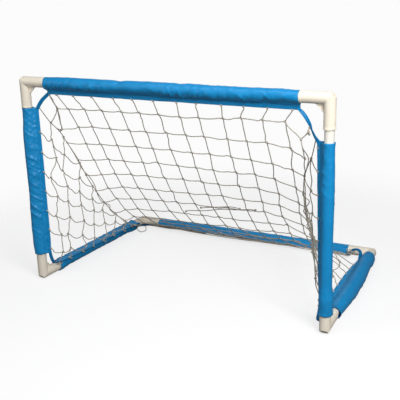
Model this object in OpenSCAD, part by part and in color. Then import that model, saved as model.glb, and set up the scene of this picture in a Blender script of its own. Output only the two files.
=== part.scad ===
// Small portable goal: a push-fit frame of six plastic bars and six elbows,
// dressed in sewn cloth sleeves that carry a knotted net.
// Millimetres. X runs along the crossbar, +Y from the mouth to the rear bar, +Z up.
// The origin lies on the floor, under the middle of the frame.

/* [Frame] */
// Width of the mouth, from one post's axis to the other's
mouth_w = 885; // [760:5:1100]
// Height of the crossbar's axis above the base bars' axes
post_h = 580; // [500:5:760]
// Depth from the posts' axes to the rear bar's axis
frame_depth = 544; // [480:2:680]
// How much shorter the rear bar is than the mouth, axis to axis
rear_taper = 51; // [20:1:70]

/* [Tubes] */
// Outer diameter of every tube
tube_d = 24; // [20:0.5:26]
// Wall of every tube
tube_wall = 2; // [1.5:0.1:3]
// Length of the ferrules that join the halves of the crossbar and the rear bar
ferrule_len = 100; // [60:2:160]
// Wall of a ferrule
ferrule_wall = 2; // [1:0.1:3]
// Width of the collar that the two tube halves butt against
ferrule_collar = 4; // [2:0.5:8]

/* [Elbows] */
// Outer diameter of an elbow's legs
fitting_d = 29; // [28.5:0.5:32]
// Length of a leg, from the elbow's centre to its mouth
leg_len = 73; // [66:0.5:80]
// Depth of the socket that takes a tube
socket_depth = 45; // [30:0.5:50]
// How far the bead round each mouth stands out from the leg
bead_height = 0.7; // [0.3:0.1:1.2]
// Length of the bead round each mouth
bead_len = 5; // [3:0.5:8]
// Bore that runs round the corner between the two sockets
passage_d = 14; // [8:0.5:15]
// Depth that the outer knee is cut back along its diagonal
knee_cut = 8.5; // [5:0.5:9.5]
// Length of the gusset web along each leg, from the inner corner
web_len = 20; // [14:0.5:22]
// Thickness of the gusset web
web_t = 4.5; // [3:0.1:8]
// Depth of the panel sunk in each face of the web
web_recess = 1; // [0.4:0.1:1.2]
// Diameter of the moulding gate's flat at the knee
gate_d = 7; // [4:0.5:9]

/* [Sleeves] */
// Thickness of the sleeve cloth
cloth_t = 0.8; // [0.5:0.1:1.2]
// Distance from a bar's axis to the sewn tip of its flap
flap_reach = 34; // [32:0.5:44]
// Backward tilt of the crossbar's hanging flap
crossbar_flap_tilt = 11; // [0:1:20]
// Backward turn of the posts' flaps
post_flap_tilt = 16; // [8:1:24]
// Cut length of the crossbar sleeve's shortfall from the two elbow mouths
crossbar_sleeve_gap = 1; // [0.5:0.5:8]
// How much longer a post sleeve is cut than the way between the two elbows
post_sleeve_over = 6; // [0:1:30]
// How much longer a side base sleeve is cut than the way between its elbows
side_sleeve_over = 16; // [4:1:30]
// How far the right post sleeve has slid down from the upper elbow
right_post_slide = 30; // [20:1:34]
// How far in front of its elbow's mouth the left base sleeve starts
left_base_cover = 8; // [4:1:12]
// How far behind the front elbow's mouth the right base sleeve starts
right_base_slide = 17; // [8:1:22]

/* [Corner tapes] */
// Width of the folded tape that joins two sleeves round a corner
tape_w = 12; // [8:0.5:14]
// Thickness of the folded tape
tape_t = 1.6; // [1:0.1:2.4]
// Height of the loop in the rear right tape, which has slack
tape_loop_h = 13; // [8:1:20]

/* [Net] */
// Diameter of the net's cord
cord_d = 2.4; // [1.8:0.2:3.2]
// Diameter of the laced cord along each side seam
seam_cord_d = 3.6; // [3:0.2:5]
// Meshes across the back net
back_across = 13; // [10:1:15]
// Meshes from the crossbar to the rear bar, and along each seam
meshes_down = 11; // [8:1:12]
// Droop of the back net's middle, where 1 is a taut straight slope
middle_droop = 1.15; // [1:0.05:1.5]
// Droop of the left side seam
left_droop = 1.35; // [1.1:0.05:2.4]
// Droop of the right side seam
right_droop = 1.4; // [1.1:0.05:2.4]
// How far the slack right seam swings inward, midway down
right_swing = 90; // [0:5:110]

/* [Fits] */
// Radial clearance of a tube in an elbow and of a ferrule in a tube
push_fit = 0.1; // [0.05:0.05:0.3]
// Clearance at the ends of tubes, tapes and cords
end_gap = 0.3; // [0.1:0.05:0.5]
// Clearance of cloth round what it covers
cloth_gap = 0.3; // [0.2:0.1:0.6]
// Distance from a flap's tip to the edge of the net
net_gap = 0.8; // [0.6:0.1:0.9]

/* [Hidden] */
$fn = 64;

LEFT = -1;
RIGHT = 1;
CREAM = [0.93, 0.90, 0.83];
WHITE = [0.95, 0.94, 0.90];
BLUE = [0.06, 0.45, 0.75];
CORD = [0.80, 0.78, 0.72];

// Radii and elbow sizes
tube_r = tube_d / 2;
fitting_r = fitting_d / 2;
bead_r = fitting_r + bead_height;
socket_r = tube_r + push_fit;
stop_at = leg_len - socket_depth;
far = 2 * leg_len;
edge_chamfer = 0.8;
web_root = 1.2;

// The frame: six corners and the toe-in of the side bars
// The origin is midway between what reaches out furthest, front and rear
ring_n = 16;
toe = atan(rear_taper / 2 / frame_depth);
side_bar_len = frame_depth / cos(toe);
rear_w = mouth_w - rear_taper;
cover_outer_r = (bead_r + cloth_gap) / cos(180 / ring_n) + cloth_t;
middle_y = (cover_outer_r - bead_r) / 2;
front_y = middle_y - frame_depth / 2;
rear_y = middle_y + frame_depth / 2;
base_z = bead_r;
top_z = base_z + post_h;

// Sleeves: a ring of points that wraps the bar and runs out to the flap's tip
wrap_slack = 1 / cos(180 / ring_n);
cover_slope = 10;
side_flap_reach = flap_reach * cos(post_flap_tilt + toe);
bead_flap_loss = 3;
crossbar_sleeve_len = mouth_w - 2 * leg_len - crossbar_sleeve_gap;
rear_sleeve_len = rear_w - 2 * leg_len - crossbar_sleeve_gap;
post_sleeve_len = post_h - 2 * leg_len + post_sleeve_over;
side_sleeve_len = side_bar_len - 2 * leg_len + side_sleeve_over;
left_post_top = top_z - leg_len - crossbar_sleeve_gap / 2;
right_post_top = left_post_top - right_post_slide;
left_base_start = leg_len - left_base_cover;
right_base_start = leg_len + right_base_slide;
floor_clear = 0.2;

// Corner tapes run along the middle of the last strip of each flap
strip_reach = flap_reach - tape_w / 2;
side_strip_reach = side_flap_reach - tape_w / 2;
tape_plane_y = front_y + strip_reach
             * (sin(crossbar_flap_tilt) + sin(post_flap_tilt)) / 2;
tape_steps = 10;

// Net: seams start behind the upper tapes and end on the base flaps
post_tip_along = flap_reach * sin(post_flap_tilt + toe);
post_tip_x = mouth_w / 2 - flap_reach * cos(post_flap_tilt);
seam_r = seam_cord_d / 2;
seam_start_along = tape_plane_y - front_y + side_flap_reach * tan(toe)
                 + tape_t / 2 + seam_r + end_gap;
seam_end_along = left_base_start + side_sleeve_len - seam_cord_d;
seam_end_up = seam_r + end_gap;
seam_sides = 8;
flap_drop = [sin(crossbar_flap_tilt), -cos(crossbar_flap_tilt)] * flap_reach;

// A point given by its distance inward from a side base bar, its distance
// along that bar from the front corner, and its height above the bar's axis
function side_point(side, inward, along, up) = [
    side * (mouth_w / 2 - inward * cos(toe) - along * sin(toe)),
    front_y - inward * sin(toe) + along * cos(toe),
    base_z + up
];

// ---------------------------------------------------------------- elbows

// Half-space on the first leg's side of the mitre, for legs that open by bend
module mitre_side(bend) {
    d = [cos(bend / 2), sin(bend / 2)] * far;
    n = [sin(bend / 2), -cos(bend / 2)] * far;
    linear_extrude(2 * far, center = true)
        polygon([-d, -d + n, d + n, d]);
}

// A revolved leg along +X, cut off at the mitre
module mitred_leg(bend, profile) {
    intersection() {
        rotate([0, 90, 0])
            rotate_extrude()
                polygon(profile);
        mitre_side(bend);
    }
}

// Both legs of one profile, mirrored over the mitre
module leg_pair(bend, profile) {
    mitred_leg(bend, profile);
    mirror([sin(bend / 2), -cos(bend / 2), 0])
        mitred_leg(bend, profile);
}

// Gusset web in the inner corner; grow moves its edges out, drop sinks them in
module web_outline(bend, inset) {
    corner = (fitting_r - web_root) / sin(bend / 2);
    toe_x = fitting_r / tan(bend / 2) + web_len + web_root;
    toe_y = fitting_r - web_root;
    across = [cos(bend / 2), sin(bend / 2)];
    tip_a = [toe_x, toe_y];
    tip_b = 2 * (tip_a * across) * across - tip_a;
    middle = (corner * across + tip_a + tip_b) / 3;
    polygon([for (p = [corner * across, tip_a, tip_b]) middle + (p - middle) * inset]);
}

// Mitred push-fit elbow in the XY plane: one leg along +X, the other at bend
module elbow(bend = 90) {
    outer = [
        [0, -far], [fitting_r, -far], [fitting_r, leg_len - bead_len - bead_height],
        [bead_r, leg_len - bead_len], [bead_r, leg_len - edge_chamfer],
        [bead_r - edge_chamfer, leg_len], [0, leg_len]
    ];
    socket = [
        [0, stop_at], [socket_r, stop_at], [socket_r, leg_len - edge_chamfer],
        [socket_r + 2 * edge_chamfer, leg_len + edge_chamfer], [0, leg_len + edge_chamfer]
    ];
    passage = [[0, -far], [passage_d / 2, -far], [passage_d / 2, far], [0, far]];
    diagonal = [cos(bend / 2), sin(bend / 2), 0];
    knee = fitting_r / sin(bend / 2) - knee_cut;
    color(CREAM)
    difference() {
        union() {
            leg_pair(bend, outer);
            linear_extrude(web_t, center = true)
                web_outline(bend, 1);
        }
        leg_pair(bend, socket);
        leg_pair(bend, passage);
        rotate([0, 0, bend / 2])
            translate([-knee - far, -far, -far])
                cube([far, 2 * far, 2 * far]);
        for (face = [-1, 1])
            translate([0, 0, face * web_t / 2])
                linear_extrude(2 * web_recess, center = true)
                    web_outline(bend, 0.5);
        for (face = [-1, 1])
            translate([0, 0, face * fitting_r])
                cylinder(h = 1, d = gate_d, center = true);
    }
}

module top_left_elbow() {
    translate([-mouth_w / 2, front_y, top_z])
        rotate([-90, 0, 0])
            elbow();
}

module top_right_elbow() {
    translate([mouth_w / 2, front_y, top_z])
        rotate([-90, 0, 180])
            elbow();
}

module front_elbow(side) {
    translate([side * mouth_w / 2, front_y, base_z])
        rotate([90, 0, 90 + side * toe])
            elbow();
}

// The rear corners are sprung open by the toe-in of the side bars
module rear_left_elbow() {
    translate([-rear_w / 2, rear_y, base_z])
        rotate([180, 0, 0])
            elbow(90 + toe);
}

module rear_right_elbow() {
    translate([rear_w / 2, rear_y, base_z])
        rotate([0, 0, 180])
            elbow(90 + toe);
}

// ----------------------------------------------------------------- tubes

// Plain extruded tube along +Z, chamfered inside at both ends
module tube(length) {
    bore_r = tube_r - tube_wall;
    lead = tube_wall / 4;
    color(WHITE)
    rotate_extrude()
        polygon([
            [bore_r + lead, 0], [tube_r - lead, 0], [tube_r, lead],
            [tube_r, length - lead], [tube_r - lead, length],
            [bore_r + lead, length], [bore_r, length - lead], [bore_r, lead]
        ]);
}

// Half of a bar along X, from an elbow's stop to the ferrule's collar
module half_bar(side, bar_w) {
    length = bar_w / 2 - stop_at - ferrule_collar / 2 - 2 * end_gap;
    start = ferrule_collar / 2 + end_gap;
    rotate([0, side * 90, 0])
        translate([0, 0, start])
            tube(length);
}

// Ferrule inside the two halves of a bar, with the collar they butt against
module ferrule() {
    spigot_r = tube_r - tube_wall - push_fit;
    bore_r = spigot_r - ferrule_wall;
    half = ferrule_len / 2;
    collar = ferrule_collar / 2;
    lead = ferrule_wall / 2;
    color(CREAM)
    rotate([0, 90, 0])
        rotate_extrude()
            polygon([
                [bore_r, -half], [spigot_r - lead, -half], [spigot_r, -half + lead],
                [spigot_r, -collar], [tube_r, -collar], [tube_r, collar],
                [spigot_r, collar], [spigot_r, half - lead],
                [spigot_r - lead, half], [bore_r, half]
            ]);
}

module crossbar_part(side) {
    translate([0, front_y, top_z])
        half_bar(side, mouth_w);
}

module rear_part(side) {
    translate([0, rear_y, base_z])
        half_bar(side, rear_w);
}

module post_tube(side) {
    translate([side * mouth_w / 2, front_y, base_z + stop_at + end_gap])
        tube(post_h - 2 * (stop_at + end_gap));
}

module base_tube(side) {
    translate([side * mouth_w / 2, front_y, base_z])
        rotate([-90, 0, side * toe])
            translate([0, 0, stop_at + end_gap])
                tube(side_bar_len - 2 * (stop_at + end_gap));
}

module crossbar_ferrule() {
    translate([0, front_y, top_z])
        ferrule();
}

module rear_ferrule() {
    translate([0, rear_y, base_z])
        ferrule();
}

// --------------------------------------------------------------- sleeves

// Teardrop ring: an arc of radius r round the bar, and the flap's tip at reach
function teardrop(r, reach, z) =
    let (open = acos(r / reach), step = (360 - 2 * open) / (ring_n - 2))
    concat(
        [[reach, 0, z]],
        [for (i = [0 : ring_n - 2]) [r * cos(open + i * step), r * sin(open + i * step), z]]
    );

// Cloth sleeve along +Z with its flap towards +X. Each station is
// [distance along, radius of what is covered, reach of the flap]
module cloth_sleeve(stations) {
    last = len(stations) - 1;
    points = [
        for (s = stations)
            let (inner_r = (s[1] + cloth_gap) * wrap_slack, outer_r = inner_r + cloth_t)
            each concat(
                teardrop(outer_r, s[2], s[0]),
                teardrop(inner_r, s[2] * inner_r / outer_r, s[0])
            )
    ];
    ring = 2 * ring_n;
    sides = [
        for (s = [0 : last - 1], i = [0 : ring_n - 1])
            let (a = s * ring + i, b = s * ring + (i + 1) % ring_n)
            each [
                [a, b + ring, b], [a, a + ring, b + ring],
                [a + ring_n, b + ring_n, b + ring + ring_n],
                [a + ring_n, b + ring + ring_n, a + ring + ring_n]
            ]
    ];
    ends = [
        for (i = [0 : ring_n - 1])
            let (j = (i + 1) % ring_n, top = last * ring)
            each [
                [i, j, j + ring_n], [i, j + ring_n, i + ring_n],
                [top + i, top + j + ring_n, top + j],
                [top + i, top + i + ring_n, top + j + ring_n]
            ]
    ];
    color(BLUE)
        polyhedron(points, concat(sides, ends));
}

// Stations for a sleeve that covers an elbow's leg beyond the given distances
function cover_stations(length, reach, cover_from, cover_to) =
    let (tucked = reach - bead_flap_loss)
    concat(
        cover_from > 0 ? [[0, bead_r, tucked], [cover_from, bead_r, tucked],
                          [cover_from + cover_slope, tube_r, reach]]
                       : [[0, tube_r, reach]],
        cover_to < length ? [[cover_to - cover_slope, tube_r, reach],
                             [cover_to, bead_r, tucked], [length, bead_r, tucked]]
                          : [[length, tube_r, reach]]
    );

module crossbar_sleeve() {
    translate([-crossbar_sleeve_len / 2, front_y, top_z])
        rotate([crossbar_flap_tilt, 0, 0])
            rotate([0, 90, 0])
                cloth_sleeve(cover_stations(crossbar_sleeve_len, flap_reach, 0,
                                            crossbar_sleeve_len));
}

module rear_sleeve() {
    translate([-rear_sleeve_len / 2, rear_y, base_z])
        rotate([-90, 0, 0])
            rotate([0, 90, 0])
                cloth_sleeve(cover_stations(rear_sleeve_len, flap_reach, 0, rear_sleeve_len));
}

// A post sleeve hangs from its top and slips over the front elbow's upper leg
module post_sleeve(side, sleeve_top) {
    bottom = sleeve_top - post_sleeve_len;
    mouth_up = base_z + leg_len - bottom;
    translate([side * mouth_w / 2, front_y, bottom])
        rotate([0, 0, side == LEFT ? post_flap_tilt : 180 - post_flap_tilt])
            cloth_sleeve(cover_stations(post_sleeve_len, flap_reach,
                                        mouth_up + cloth_gap, post_sleeve_len));
}

// A base sleeve, pressed flat where it lies between an elbow and the floor
module base_sleeve(side, start) {
    cover_from = leg_len - start;
    cover_to = side_bar_len - leg_len - start;
    intersection() {
        translate([side * mouth_w / 2, front_y, base_z])
            rotate([0, 0, side * toe])
                rotate([-90, 0, 0])
                    translate([0, 0, start])
                        rotate([0, 0, side == LEFT ? 0 : 180])
                            cloth_sleeve(cover_stations(side_sleeve_len, side_flap_reach,
                                cover_from > 0 ? cover_from + cloth_gap : 0,
                                cover_to < side_sleeve_len ? cover_to - cloth_gap
                                                           : side_sleeve_len));
        translate([-mouth_w, -frame_depth, floor_clear])
            cube([2 * mouth_w, 2 * frame_depth, 2 * fitting_d]);
    }
}

// ----------------------------------------------------------- corner tapes

// Band in XY round an ellipse of half-axes run and rise, from +X through sweep
module round_band(run, rise, width, sweep = 90) {
    polygon(concat(
        [for (i = [0 : tape_steps]) let (a = sweep * i / tape_steps)
            [(run + width / 2) * cos(a), (rise + width / 2) * sin(a)]],
        [for (i = [tape_steps : -1 : 0]) let (a = sweep * i / tape_steps)
            [(run - width / 2) * cos(a), (rise - width / 2) * sin(a)]]
    ));
}

// Upper tape: flat in the mouth's plane, from the crossbar's flap to the post's
module top_tape(side, sleeve_top) {
    start_x = crossbar_sleeve_len / 2 + end_gap;
    end_x = mouth_w / 2 - strip_reach * cos(post_flap_tilt);
    foot_z = sleeve_top + end_gap;
    head_z = top_z - strip_reach * cos(crossbar_flap_tilt);
    color(BLUE)
    translate([side * start_x, tape_plane_y, foot_z])
        rotate([90, 0, 0])
            mirror([side == LEFT ? 1 : 0, 0, 0])
                linear_extrude(tape_t, center = true)
                    round_band(end_x - start_x, head_z - foot_z, tape_w);
}

// Lower front tape: hangs off the post's flap and bends back to the base flap
module front_tape(side, sleeve_bottom, base_start) {
    foot = base_start - end_gap;
    drop = sleeve_bottom - end_gap - base_z;
    run = foot - strip_reach * sin(post_flap_tilt + toe);
    color(BLUE)
    translate(side_point(side, side_strip_reach, foot, drop))
        rotate([0, 0, side * toe])
            rotate([90, 0, 90])
                linear_extrude(tape_w, center = true)
                    mirror([1, 0, 0])
                        mirror([0, 1, 0])
                            round_band(run, drop, tape_t);
}

// Rear left tape: flat on the level of the base bars
module rear_left_tape() {
    start = side_point(LEFT, side_strip_reach,
                       left_base_start + side_sleeve_len + end_gap, 0);
    head_x = -rear_sleeve_len / 2 - end_gap;
    head_y = rear_y - strip_reach;
    color(BLUE)
    translate([head_x, start[1], base_z])
        mirror([1, 0, 0])
            linear_extrude(tape_t, center = true)
                round_band(head_x - start[0], head_y - start[1], tape_w);
}

// Rear right tape: its slack stands up in a loop
module rear_right_tape() {
    end = side_point(RIGHT, side_strip_reach,
                     right_base_start + side_sleeve_len + end_gap, 0);
    head_x = rear_sleeve_len / 2 + end_gap + tape_t / 2;
    half = (end[0] - head_x) / 2;
    color(BLUE)
    translate([head_x + half, end[1] + tape_w / 2, base_z])
        rotate([90, 0, 0])
            linear_extrude(tape_w, center = true)
                round_band(half, tape_loop_h, tape_t, 180);
}

// ------------------------------------------------------------------- net

// Height above the base axis at which a seam leaves the upper tape
function seam_start_up(side) =
    let (
        sleeve_top = side == LEFT ? left_post_top : right_post_top,
        start_x = crossbar_sleeve_len / 2 + end_gap,
        run = mouth_w / 2 - strip_reach * cos(post_flap_tilt) - start_x,
        rise = top_z - strip_reach * cos(crossbar_flap_tilt) - sleeve_top,
        share = (post_tip_x - start_x) / run
    )
    sleeve_top + rise * sqrt(1 - share * share) - base_z;

function seam_droop(side) = side == LEFT ? left_droop : right_droop;

// How far a side's net has swung inward, t of the way down its seam
function swing(side, t) = (side == LEFT ? 0 : right_swing) * 4 * t * (1 - t);

// A seam as [inward, along, up] from its side's base bar, for t from 0 to 1
function seam_at(side, t) = [
    side_flap_reach + swing(side, t),
    blend(seam_start_along, seam_end_along, t),
    seam_end_up + (seam_start_up(side) - seam_end_up) * pow(1 - t, seam_droop(side))
];

// Direction in which a seam runs
function seam_ahead(side, t) =
    let (
        inward = (side == LEFT ? 0 : right_swing) * 4 * (1 - 2 * t),
        fall = seam_droop(side) * (seam_start_up(side) - seam_end_up)
             * pow(1 - t, seam_droop(side) - 1),
        d = [inward, seam_end_along - seam_start_along, -fall]
    )
    d / norm(d);

// Square to a seam, pointing down and forward in its side's plane
function seam_under(side, t) =
    let (
        d = seam_ahead(side, t),
        n = [0, d[2], -d[1]]
    )
    n / norm(n);

// Corner of a mesh's gap at the knot p, whose cords run to the knots a and b
// and take up width_a and width_b of the mesh
function gap_corner(p, a, b, width_a, width_b) =
    let (
        to_a = (a - p) / norm(a - p),
        to_b = (b - p) / norm(b - p),
        turn = norm(cross(to_a, to_b))
    )
    p + to_a * width_b / turn + to_b * width_a / turn;

// Sheet of cord_d thickness. Each cell lists the knots round one mesh, which
// run anticlockwise as seen from where lift points. Two meshes share the cord
// between them, and a cord at the rim keeps its full width in its own mesh.
module netting(knots, cells, lift) {
    total = len(knots);
    edges = [
        for (c = cells, s = [0 : len(c) - 1])
            c[s] * total + c[(s + 1) % len(c)]
    ];
    widths = [
        for (c = cells) [
            for (s = [0 : len(c) - 1])
                let (met = search(c[(s + 1) % len(c)] * total + c[s], edges))
                len(met) > 0 ? cord_d / 2 : cord_d
        ]
    ];
    corners = [
        for (k = [0 : len(cells) - 1], s = [0 : len(cells[k]) - 1])
            let (
                c = cells[k],
                n = (s + 1) % len(c),
                last = (s + len(c) - 1) % len(c)
            )
            gap_corner(knots[c[s]], knots[c[n]], knots[c[last]], widths[k][s], widths[k][last])
    ];
    face = concat(knots, corners);
    count = len(face);
    starts = [for (k = 0, at = total; k < len(cells); at = at + len(cells[k]), k = k + 1) at];
    skin = [
        for (k = [0 : len(cells) - 1], s = [0 : len(cells[k]) - 1])
            let (
                n = (s + 1) % len(cells[k]),
                a = cells[k][s],
                b = cells[k][n],
                c = starts[k] + n,
                d = starts[k] + s,
                rim = widths[k][s] < cord_d ? []
                    : [[a, b + count, a + count], [a, b, b + count]]
            )
            each concat(
                [[a, c, b], [a, d, c],
                 [a + count, b + count, c + count], [a + count, c + count, d + count],
                 [d, c + count, c], [d, d + count, c + count]],
                rim
            )
    ];
    color(CORD)
        polyhedron(concat([for (p = face) p + lift], [for (p = face) p - lift]), skin);
}

// A knot of a side net, in column i from the post and row j from the base bar.
// Column i runs up to the seam, where it ends as row meshes_down - i.
function side_knot(side, i, j) =
    let (
        sleeve_top = side == LEFT ? left_post_top : right_post_top,
        base_start = side == LEFT ? left_base_start : right_base_start,
        corner = [side_flap_reach, base_start + seam_cord_d, net_gap],
        rear = [side_flap_reach, seam_end_along, net_gap],
        front = [side_flap_reach, post_tip_along + net_gap,
                 sleeve_top - post_sleeve_len - base_z + seam_cord_d],
        t = i / meshes_down,
        edge = seam_at(side, t) + seam_under(side, t) * (seam_r + end_gap),
        ahead = seam_ahead(side, t),
        top = edge + ahead / ahead[1] * max(front[1] - edge[1], 0),
        foot = i == 0 ? front : blend(corner, rear, (i - 1) / (meshes_down - 1)),
        share = i == 0 ? max(j - 1, 0) / (meshes_down - 1) : j / (meshes_down - i),
        at = blend(foot, top, share)
    )
    side_point(side, at[0], at[1], at[2]);

// Side net: whole meshes below, halved ones along the seam and at the front
// corner, where the lower tape passes. The last column ends one mesh early.
module side_net(side) {
    n = meshes_down;
    knots = [for (i = [0 : n - 1], j = [0 : n - i]) side_knot(side, i, j)];
    first = [for (i = [0 : n - 1]) i * (n + 1) - i * (i - 1) / 2];
    cells = [
        for (i = [0 : n - 2], j = [0 : n - 1 - i])
            let (
                near = first[i] + j,
                next = first[i + 1] + j,
                whole = [near, next, next + 1, near + 1],
                left_out = i == 0 && j == 0 ? 0 : j == n - 1 - i ? 2 : -1
            )
            [for (k = [0 : 3]) if (k != left_out) whole[k]]
    ];
    lean = atan2(swing(side, 0.5), seam_at(side, 0.5)[2]);
    netting(knots, cells, [cos(lean), 0, sin(lean)] * cord_d / 2);
}

// Share of the way from a seam to the flap line, over the outermost mesh
function off_seam(u) = min(1, u * back_across, (1 - u) * back_across);

function blend(a, b, t) = a + (b - a) * t;

// A point of the back net: u runs across from the left, v down the slope. The
// net's swing grows from the left seam to the right one.
function back_point(u, v) =
    let (
        side = u < 0.5 ? LEFT : RIGHT,
        in = off_seam(u),
        clear = seam_r + net_gap,
        start_up = blend(seam_start_up(LEFT), seam_start_up(RIGHT), u),
        left_top = side_point(LEFT, side_flap_reach + clear, seam_start_along, start_up),
        left_end = side_point(LEFT, side_flap_reach + clear, seam_end_along, seam_end_up),
        flap_y = front_y + flap_drop[0] + net_gap,
        flap_z = top_z + flap_drop[1] - net_gap,
        rear_flap_y = rear_y - flap_reach - net_gap,
        start = [blend(left_top[0], -left_top[0], u), blend(left_top[1], flap_y, in),
                 blend(left_top[2], flap_z, in)],
        end = [blend(left_end[0], -left_end[0], u), blend(left_end[1], rear_flap_y, in),
               blend(left_end[2], base_z, in)],
        edge = pow(abs(2 * u - 1), 3),
        droop = blend(middle_droop, seam_droop(side), edge)
    )
    [blend(start[0], end[0], v), blend(start[1], end[1], v),
     end[2] + (start[2] - end[2]) * pow(1 - v, droop)]
    - [cos(toe), sin(toe), 0] * swing(RIGHT, v) * sin(90 * u);

// Back net, draped from the crossbar to the rear bar between the two seams
module back_net() {
    nu = back_across;
    nv = meshes_down;
    slope = atan2(post_h, frame_depth);
    knots = [for (j = [0 : nv], i = [0 : nu]) back_point(i / nu, j / nv)];
    cells = [
        for (j = [0 : nv - 1], i = [0 : nu - 1])
            [j * (nu + 1) + i, j * (nu + 1) + i + 1,
             (j + 1) * (nu + 1) + i + 1, (j + 1) * (nu + 1) + i]
    ];
    netting(knots, cells, [0, sin(slope), cos(slope)] * cord_d / 2);
}

// Laced cord along a seam: rings swept down it, one at each knot
module seam_cord(side) {
    ring = [
        for (i = [0 : meshes_down])
            let (
                t = i / meshes_down,
                p = seam_at(side, t),
                under = seam_under(side, t),
                across = cross(under, seam_ahead(side, t))
            )
            for (k = [0 : seam_sides - 1])
                let (
                    a = 360 * k / seam_sides,
                    q = p + seam_r * (cos(a) * under + sin(a) * across)
                )
                side_point(side, q[0], q[1], q[2])
    ];
    turn = side == LEFT ? [0, 1, 2] : [0, 2, 1];
    skin = [
        for (i = [0 : meshes_down - 1], k = [0 : seam_sides - 1])
            let (
                a = i * seam_sides + k,
                b = i * seam_sides + (k + 1) % seam_sides,
                c = b + seam_sides,
                d = a + seam_sides
            )
            each [[for (m = turn) [a, b, c][m]], [for (m = turn) [a, c, d][m]]]
    ];
    last = meshes_down * seam_sides;
    caps = [
        for (k = [1 : seam_sides - 2])
            each [[for (m = turn) [0, k + 1, k][m]],
                  [for (m = turn) [last, last + k, last + k + 1][m]]]
    ];
    color(CORD)
        polyhedron(ring, concat(skin, caps));
}

top_left_elbow();
top_right_elbow();
front_elbow(LEFT);  // front_left_elbow
front_elbow(RIGHT);  // front_right_elbow
rear_left_elbow();
rear_right_elbow();
crossbar_part(LEFT);  // crossbar_tube_left
crossbar_part(RIGHT);  // crossbar_tube_right
crossbar_ferrule();
post_tube(LEFT);  // left_post_tube
post_tube(RIGHT);  // right_post_tube
base_tube(LEFT);  // left_base_tube
base_tube(RIGHT);  // right_base_tube
rear_part(LEFT);  // rear_tube_left
rear_part(RIGHT);  // rear_tube_right
rear_ferrule();
crossbar_sleeve();
post_sleeve(LEFT, left_post_top);  // left_post_sleeve
post_sleeve(RIGHT, right_post_top);  // right_post_sleeve
base_sleeve(LEFT, left_base_start);  // left_base_sleeve
base_sleeve(RIGHT, right_base_start);  // right_base_sleeve
rear_sleeve();
top_tape(LEFT, left_post_top);  // top_left_tape
top_tape(RIGHT, right_post_top);  // top_right_tape
front_tape(LEFT, left_post_top - post_sleeve_len, left_base_start);  // front_left_tape
front_tape(RIGHT, right_post_top - post_sleeve_len, right_base_start);  // front_right_tape
rear_left_tape();
rear_right_tape();
back_net();
side_net(LEFT);  // left_side_net
side_net(RIGHT);  // right_side_net
seam_cord(LEFT);  // left_seam_cord
seam_cord(RIGHT);  // right_seam_cord
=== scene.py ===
import math

import bpy
import numpy as np
from mathutils import Matrix, Vector


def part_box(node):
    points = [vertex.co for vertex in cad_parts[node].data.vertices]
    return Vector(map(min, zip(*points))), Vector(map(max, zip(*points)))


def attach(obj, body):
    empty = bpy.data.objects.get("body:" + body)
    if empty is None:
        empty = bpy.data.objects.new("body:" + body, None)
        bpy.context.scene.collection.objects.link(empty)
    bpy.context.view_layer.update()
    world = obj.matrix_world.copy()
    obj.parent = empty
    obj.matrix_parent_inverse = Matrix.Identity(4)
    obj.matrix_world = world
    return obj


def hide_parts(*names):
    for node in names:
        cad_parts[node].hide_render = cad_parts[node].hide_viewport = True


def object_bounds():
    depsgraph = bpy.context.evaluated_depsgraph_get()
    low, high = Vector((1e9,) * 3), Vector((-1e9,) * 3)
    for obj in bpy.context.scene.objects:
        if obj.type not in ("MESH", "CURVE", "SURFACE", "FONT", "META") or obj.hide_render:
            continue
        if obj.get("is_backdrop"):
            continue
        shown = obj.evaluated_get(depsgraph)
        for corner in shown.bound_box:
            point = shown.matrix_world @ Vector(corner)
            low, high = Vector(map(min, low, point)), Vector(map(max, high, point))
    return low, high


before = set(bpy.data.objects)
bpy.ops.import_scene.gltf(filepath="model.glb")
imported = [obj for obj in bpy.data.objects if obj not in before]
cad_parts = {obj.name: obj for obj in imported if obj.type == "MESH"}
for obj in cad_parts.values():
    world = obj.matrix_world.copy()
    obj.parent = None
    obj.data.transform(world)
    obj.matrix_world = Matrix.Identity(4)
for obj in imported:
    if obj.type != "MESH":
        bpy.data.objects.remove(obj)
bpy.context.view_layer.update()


# ------------------------------------------------------------ the camera
# It stands at the goal's right front, a little under two metres away and
# above the crossbar, and looks down into the mouth with a slight roll.

def aim(azimuth, elevation, roll):
    """Camera axes as a matrix, from turns in degrees."""
    a, e, t = (math.radians(turn) for turn in (azimuth, elevation, roll))
    ahead = Vector((-math.sin(a) * math.cos(e), math.cos(a) * math.cos(e), -math.sin(e)))
    level = Vector((math.cos(a), math.sin(a), 0))
    above = level.cross(ahead)
    right = math.cos(t) * level + math.sin(t) * above
    up = math.cos(t) * above - math.sin(t) * level
    return Matrix((right, up, -ahead)).transposed()


camera = bpy.data.objects.new("camera", bpy.data.cameras.new("camera"))
camera.matrix_world = (Matrix.Translation((0.9638, -1.9316, 0.9001))
                       @ aim(27.5, 17.47, -1.7).to_4x4())
camera.data.sensor_width = 36
camera.data.lens = 68.04
bpy.context.scene.collection.objects.link(camera)
bpy.context.scene.camera = camera


# ------------------------------------------------- the plastic frame
# Six moulded cream elbows hold white extruded tubes, pushed in dry. The
# moulding has a fine grain, and the tubes have drawn lines along them.

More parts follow.
